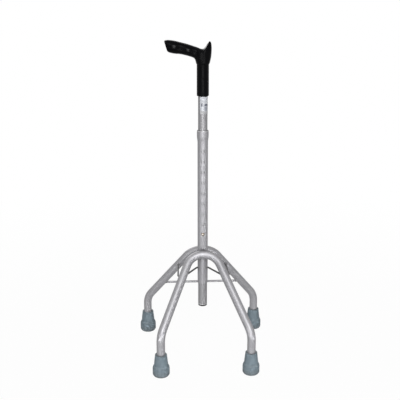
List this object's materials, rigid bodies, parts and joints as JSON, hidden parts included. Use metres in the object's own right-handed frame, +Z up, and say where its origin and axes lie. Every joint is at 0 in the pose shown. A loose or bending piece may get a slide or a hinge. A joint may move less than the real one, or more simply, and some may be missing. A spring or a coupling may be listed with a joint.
{
  "type": "quad cane",
  "caption": "Height-adjustable walking cane with a palm grip and thumb horn on a spring-button telescopic shaft, standing on splayed bent-tube legs with rubber tips.",
  "frame": {"origin": "on the floor, in the middle of the feet's footprint", "axes": "+Z up along the shaft, -Y towards the front legs and the hole row, -X the way the grip points"},
  "size_m": [0.322, 0.2834, 0.7682],
  "materials": {
    "silver_paint": "satin silver-grey powder coat",
    "satin_aluminium": "satin anodised",
    "dark_rod": "satin dark grey",
    "tip_rubber": "matt blue-grey, moulded",
    "grip_plastic": "fine moulded grain, black",
    "bush_plastic": "matt grey",
    "black_plastic": "matt black",
    "label_film": "satin film, blank",
    "button_steel": "polished dome",
    "spring_steel": "plain rolled strip",
    "zinc": "zinc plated"
  },
  "bodies": {
    "base": {"outer_tube": "silver_paint", "guide_bush": "bush_plastic", "front_legs": "silver_paint", "rear_legs": "silver_paint", "brace_rod": "dark_rod", "cross_rod": "silver_paint", "crown_weld_front": "silver_paint", "crown_weld_rear": "silver_paint", "brace_weld_shaft": "silver_paint", "brace_weld_rear_right": "silver_paint", "brace_weld_rear_left": "silver_paint", "brace_weld_front_right": "silver_paint", "brace_weld_front_left": "silver_paint", "cross_weld_right": "silver_paint", "cross_weld_left": "silver_paint", "tip_front_right": "tip_rubber", "tip_front_left": "tip_rubber", "tip_rear_right": "tip_rubber", "tip_rear_left": "tip_rubber", "tip_washer_front_right": "zinc", "tip_washer_front_left": "zinc", "tip_washer_rear_right": "zinc", "tip_washer_rear_left": "zinc"},
    "upper_shaft": {"inner_tube": "satin_aluminium", "tube_plug": "black_plastic", "label": "label_film", "button_spring": "spring_steel", "handle": "grip_plastic"},
    "button": {"snap_button": "button_steel", "button_arm": "spring_steel"}
  },
  "joints": [
    {"name": "height_slide", "type": "slide", "parent": "base", "child": "upper_shaft", "axis": [0, 0, 1], "range_m": [0, 0.208], "deforming": ["snap_button"]},
    {"name": "button_press", "type": "slide", "parent": "upper_shaft", "child": "button", "axis": [0, 1, 0], "range_m": [0, 0.0036], "stiffness_N_per_m": 1500}
  ]
}
